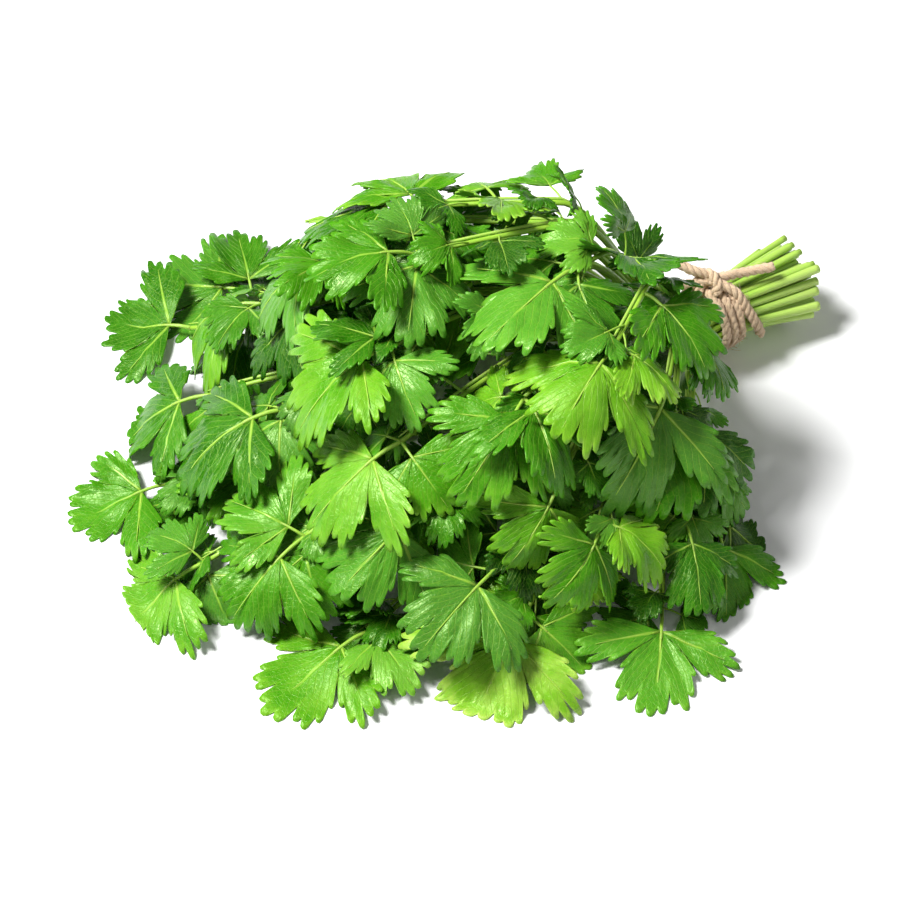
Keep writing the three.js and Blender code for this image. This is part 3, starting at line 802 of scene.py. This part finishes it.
def leaf_material(name, under=False):
    """Leaf: green by tone, mottled, pale along its veins, yellower at the rim, with a waxy bloom."""
    n = Nodes(name)
    ring, run, side = n.attribute("ring"), n.attribute("run"), n.attribute("side")
    mottle = n.noise(90, 4, 0.6)
    tone = n.math("ADD", n.attribute("tone"), n.math("MULTIPLY", n.math("SUBTRACT", mottle, 0.5), 0.5))
    tone = n.math("ADD", tone, n.span(ring, 0.8, 1.0, 0.0, 0.1), clamp=True)
    colour = n.ramp(tone, LEAF_TONES)
    colour = n.mix(n.attribute("bloom"), colour, BLOOM_COLOUR)
    # Side veins leave each lobe's midrib at a slant, a few millimetres apart, and wander a little.
    wander = n.math("MULTIPLY", n.noise(170, 2), 2.4)
    slant = n.math("SUBTRACT", n.math("ADD", run, wander), n.math("MULTIPLY", side, 1.5))
    phase = n.math("FRACT", n.math("DIVIDE", slant, 3.3))
    off = n.math("ABSOLUTE", n.math("SUBTRACT", phase, 0.5))
    branch = n.math("MULTIPLY", n.span(off, 0.0, 0.07, 1.0, 0.0), n.span(ring, 0.85, 1.0, 0.5, 0.0))
    branch = n.math("MULTIPLY", branch, n.span(side, 0.1, 1.2, 0.0, 1.0))
    width = n.span(ring, 0.1, 1.0, 0.55, 0.12)
    midrib = n.span(n.math("DIVIDE", side, width), 0.4, 1.3, 1.0, 0.0)
    midrib = n.math("MULTIPLY", midrib, n.span(ring, 0.8, 1.0, 0.75, 0.0))
    net = n.math("MULTIPLY", n.span(n.cells(760), 0.0, 0.1, 1.0, 0.0), 0.14)
    veins = n.math("MAXIMUM", midrib, n.math("MAXIMUM", branch, net))
    colour = n.mix(veins, colour, VEIN_COLOUR)
    if under:
        colour = n.mix(0.45, colour, UNDERSIDE_COLOUR)
    n.link(colour, n.shader.inputs["Base Color"])
    low, high = (0.5, 0.62) if under else (0.27, 0.42)
    n.link(n.span(mottle, 0.3, 0.7, low, high), n.shader.inputs["Roughness"])
    n.shader.inputs["Specular IOR Level"].default_value = 0.45
    n.shader.inputs["Specular Tint"].default_value = (0.75, 1.0, 0.45, 1)
    n.shader.inputs["Subsurface Weight"].default_value = 0.25
    n.shader.inputs["Subsurface Radius"].default_value = (0.5, 1.0, 0.08)
    n.shader.inputs["Subsurface Scale"].default_value = 0.0012
    height = n.math("SUBTRACT", n.noise(330, 3, 0.5), n.math("MULTIPLY", veins, 0.9))
    n.bump(height, 0.0003, 0.8)
    return n.material


def stalk_material():
    """Stem and stalk: pale green with fine lengthwise streaks, paler towards the cut end."""
    n = Nodes("stalk")
    around = n.math("MULTIPLY", n.attribute("around"), 34.0)
    vector = n.tree.nodes.new("ShaderNodeCombineXYZ")
    n.link(around, vector.inputs[0])
    n.link(n.math("MULTIPLY", n.attribute("along"), 9.0), vector.inputs[1])
    streak = n.noise(1.0, 3, 0.6, vector.outputs[0])
    pale = n.span(n.attribute("pale"), 0.0, 1.0, 0.0, 0.6)
    colour = n.mix(pale, n.ramp(streak, STALK_TONES), CUT_END_COLOUR)
    n.link(colour, n.shader.inputs["Base Color"])
    n.shader.inputs["Roughness"].default_value = 0.36
    n.shader.inputs["Subsurface Weight"].default_value = 0.35
    n.shader.inputs["Subsurface Radius"].default_value = (0.8, 1.0, 0.3)
    n.shader.inputs["Subsurface Scale"].default_value = 0.0015
    n.bump(streak, 0.00015, 0.7)
    return n.material


def twine_material():
    """Jute: tan strands with lengthwise fibres, light and dark."""
    n = Nodes("jute")
    vector = n.tree.nodes.new("ShaderNodeCombineXYZ")
    n.link(n.math("MULTIPLY", n.attribute("around"), 26.0), vector.inputs[0])
    n.link(n.math("MULTIPLY", n.attribute("along"), 160.0), vector.inputs[1])
    fibre = n.noise(1.0, 4, 0.65, vector.outputs[0])
    n.link(n.ramp(fibre, JUTE_TONES), n.shader.inputs["Base Color"])
    n.shader.inputs["Roughness"].default_value = 0.85
    n.shader.inputs["Sheen Weight"].default_value = 0.25
    n.bump(fibre, 0.0003, 1.0)
    return n.material


# The bunch
def seen_line(stem, beside=(0, 0)):
    """A stem's line as it is seen: beside its row, and straying a little towards its cut end."""
    stations = np.linspace(-1, 1, 61)
    line = stem_points(stem, stations)
    draw = drawer(1300 + stem["index"] + int(100 * beside[0]))
    behind = np.maximum(0, -stations)
    stray = np.array([0, CUT_STRAY * (draw() - 0.5), 0.7 * CUT_STRAY * (draw() - 0.5)])
    line += behind[:, None] ** 1.5 * stray
    line[:, 1] += beside[0] * STEM_PITCH * (1 + (CUT_SPLAY - 1) * behind)
    line[:, 2] += beside[1] * ROW_PITCH * (1 + (CUT_SPLAY_DOWN - 1) * behind)
    return stations, line


def build_leafy_stem(stem, patterns, masters, materials):
    """One leafy stem: the ridged stem, leaflet stalks and veins as one piece, and its blades as another."""
    node = f"leafy_stem_{stem['index'] + 1:02d}"
    leaf_top, leaf_under, stalk = materials
    stations, line = seen_line(stem)
    radii = stem_radius(stem, stations)
    main = bent_stalk(masters[0], line, radii, 0.07, stem["index"])
    pale = np.clip(-lerp(-1, 1, np.array([a.value for a in main.attributes["along"].data])), 0, 1)
    set_values(main, "pale", pale)
    stalks = [main]
    blades = []
    draw = drawer(900 + stem["index"])
    stem_tone = 0.25 + 0.45 * draw()
    for number, leaf in enumerate(stem["leaflets"]):
        tone = min(0.88, max(0, stem_tone + 0.45 * (draw() - 0.5) + (0.25 if draw() > 0.88 else 0)))
        bloom = max(0, 1.5 * draw() - 0.85)
        # Painted shade: the inner leaflets, deep in the mound, get a darker tone for the shade that falls
        # among the stacked leaves.
        if number >= stem["in_part"]:
            tone = max(0, tone - 0.15)
        pattern = patterns[0] if number < stem["in_part"] else patterns[1]
        blades.append(seen_blade(pattern, leaf, (tone, bloom)))
        for mesh in leaflet_stalks(masters[1:], line, leaf, number < stem["in_part"]):
            set_values(mesh, "pale", np.full(len(mesh.vertices), 0.25))
            stalks.append(mesh)
    joined(f"{node}_stalks", stalks, node, [stalk])
    if not blades:
        return
    leaves = joined(f"{node}_blades", blades, node, [leaf_top, leaf_under])
    bpy.context.view_layer.objects.active = leaves
    solid = leaves.modifiers.new("blade thickness", "SOLIDIFY")
    solid.thickness = SEEN_BLADE * MM
    solid.offset = 0
    solid.material_offset = 1
    bpy.ops.object.modifier_apply(modifier=solid.name)


def build_thin_stems(stems, master, material):
    """Thin stems in the gaps between the rows, which the solids leave out."""
    meshes = []
    for stem in stems:
        stations, line = seen_line(stem, THIN_STEM_PLACE)
        radii = np.where(stations < 0, lerp(*THIN_STEM_RADII, -stations), THIN_STEM_RADII[0])
        radii *= np.clip(20 * (1 - stations) * stem["thick"], 0.3, 1)
        mesh = bent_stalk(master, line, radii, 0.08)
        set_values(mesh, "pale", np.full(len(mesh.vertices), 0.5))
        meshes.append(mesh)
    return joined("thin_stems", meshes, None, [material])


def build_twine(material):
    """The twine: three plies twisted round each middle line, and loose fibres."""
    meshes = []
    for line in twine_lines(4):
        run = np.concatenate([[0], np.cumsum(np.linalg.norm(np.diff(line, axis=0), axis=1))])
        count = max(24, int(run[-1] / PLY_STEP))
        even = np.linspace(0, run[-1], count)
        middle = np.column_stack([np.interp(even, run, line[:, k]) for k in range(3)])
        sides, tops = square_ways(middle)
        master = stalk_master(8, count - 1)
        for ply in range(PLIES):
            turn = even * math.tau / PLY_TWIST_LENGTH + ply * math.tau / PLIES
            place = middle + PLY_OFFSET * (np.cos(turn)[:, None] * sides + np.sin(turn)[:, None] * tops)
            radii = np.full(count, PLY_RADIUS)
            radii[[0, -1]] *= 0.6
            mesh = bent_stalk(master, place, radii, 0.05, ply)
            along_values = np.array([a.value for a in mesh.attributes["along"].data])
            set_values(mesh, "along", along_values * run[-1] / 60)
            meshes.append(mesh)
    meshes += loose_fibres()
    return joined("twine_plies", meshes, "twine", [material])


def loose_fibres():
    """Short fibres that stand out of the twine, most of them close to it and a few long."""
    master = stalk_master(3, 5)
    draw = drawer(77)

    def any_way():
        return np.array([draw() - 0.5, draw() - 0.5, draw() - 0.5])

    meshes = []
    for line in twine_lines(4):
        for _ in range(int(len(line) * FIBRES_A_POINT)):
            i = min(len(line) - 2, int(draw() * (len(line) - 1)))
            way = unit(line[i + 1] - line[i])
            out = any_way()
            out = unit(out - (out @ way) * way)
            long = draw() > 0.95
            length = (5 + 4 * draw()) if long else (1.5 + 2 * draw())
            lean = 2.4 * (draw() - 0.5)
            start = line[i] + out * TWINE_RADIUS * 0.75
            middle = start + length * (0.25 * out + 0.3 * lean * way)
            end = middle + length * (0.15 * out + 0.5 * lean * way + 0.4 * any_way())
            fibre = spline([start, middle, end], 3)
            fibre[:, 2] = np.maximum(fibre[:, 2], 0.1)
            meshes.append(bent_stalk(master, fibre, np.linspace(*FIBRE_RADII, len(fibre))))
    return meshes


# Surroundings
# The photograph is taken from the foliage side, this far round from +Y and above the table.
VIEW_AZIMUTH = 34.0
VIEW_ELEVATION = 49.0
VIEW_DISTANCE = 0.9
MM_A_PIXEL = 0.335
TIE_PIXEL = (712, 316)
PHOTO_SIZE = 900


def place_camera():
    turn, rise = math.radians(VIEW_AZIMUTH), math.radians(VIEW_ELEVATION)
    look = Vector((math.sin(turn) * math.cos(rise), math.cos(turn) * math.cos(rise), -math.sin(rise)))
    right = Vector((math.cos(turn), -math.sin(turn), 0))
    up = right.cross(look)
    tie = Vector(in_frame([0, 0, TIE_HEIGHT]))
    offset = Vector((TIE_PIXEL[0] - PHOTO_SIZE / 2, PHOTO_SIZE / 2 - TIE_PIXEL[1])) * MM_A_PIXEL * MM
    target = tie - right * offset.x - up * offset.y
    data = bpy.data.cameras.new("camera")
    data.angle = 2 * math.atan(PHOTO_SIZE / 2 * MM_A_PIXEL * MM / VIEW_DISTANCE)
    camera = bpy.data.objects.new("camera", data)
    camera.location = target - look * VIEW_DISTANCE
    camera.rotation_euler = look.to_track_quat("-Z", "Y").to_euler()
    bpy.context.scene.collection.objects.link(camera)
    bpy.context.scene.camera = camera


def softbox(name, place, aim, size, power):
    data = bpy.data.lights.new(name, "AREA")
    data.shape = "DISK"
    data.size = size
    data.energy = power
    lamp = bpy.data.objects.new(name, data)
    lamp.location = place
    lamp.rotation_euler = (Vector(aim) - Vector(place)).to_track_quat("-Z", "Y").to_euler()
    bpy.context.scene.collection.objects.link(lamp)


def build_surroundings():
    bpy.ops.mesh.primitive_plane_add(size=6, location=(0, 0, 0))
    floor = bpy.context.object
    floor.name = "table"
    n = Nodes("white table")
    n.shader.inputs["Base Color"].default_value = (0.96, 0.96, 0.96, 1)
    n.shader.inputs["Roughness"].default_value = 0.7
    floor.data.materials.append(n.material)
    world = bpy.data.worlds.new("studio")
    world.use_nodes = True
    world.node_tree.nodes["Background"].inputs["Color"].default_value = (1, 1, 1, 1)
    world.node_tree.nodes["Background"].inputs["Strength"].default_value = 0.2
    bpy.context.scene.world = world
    softbox("key", (-0.55, 0.35, 1.1), (0, 0, 0), 0.45, 31)
    softbox("fill", (0.6, -0.9, 1.0), (0, 0, 0), 1.2, 2.5)
    bpy.context.scene.view_settings.view_transform = "Standard"


def build_bunch():
    stems = lay_out()
    patterns = (blade_master(FINE_STEPS, FINE_RINGS), blade_master(INNER_STEPS, INNER_RINGS))
    masters = (stalk_master(12, 60), stalk_master(6, 12), stalk_master(5, 8))
    thin_master = stalk_master(8, 40)
    materials = (leaf_material("leaf"), leaf_material("leaf underside", under=True), stalk_material())
    for stem in stems:
        build_leafy_stem(stem, patterns, masters, materials)
    build_thin_stems(stems, thin_master, materials[2])
    build_twine(twine_material())


build_bunch()
build_surroundings()
place_camera()
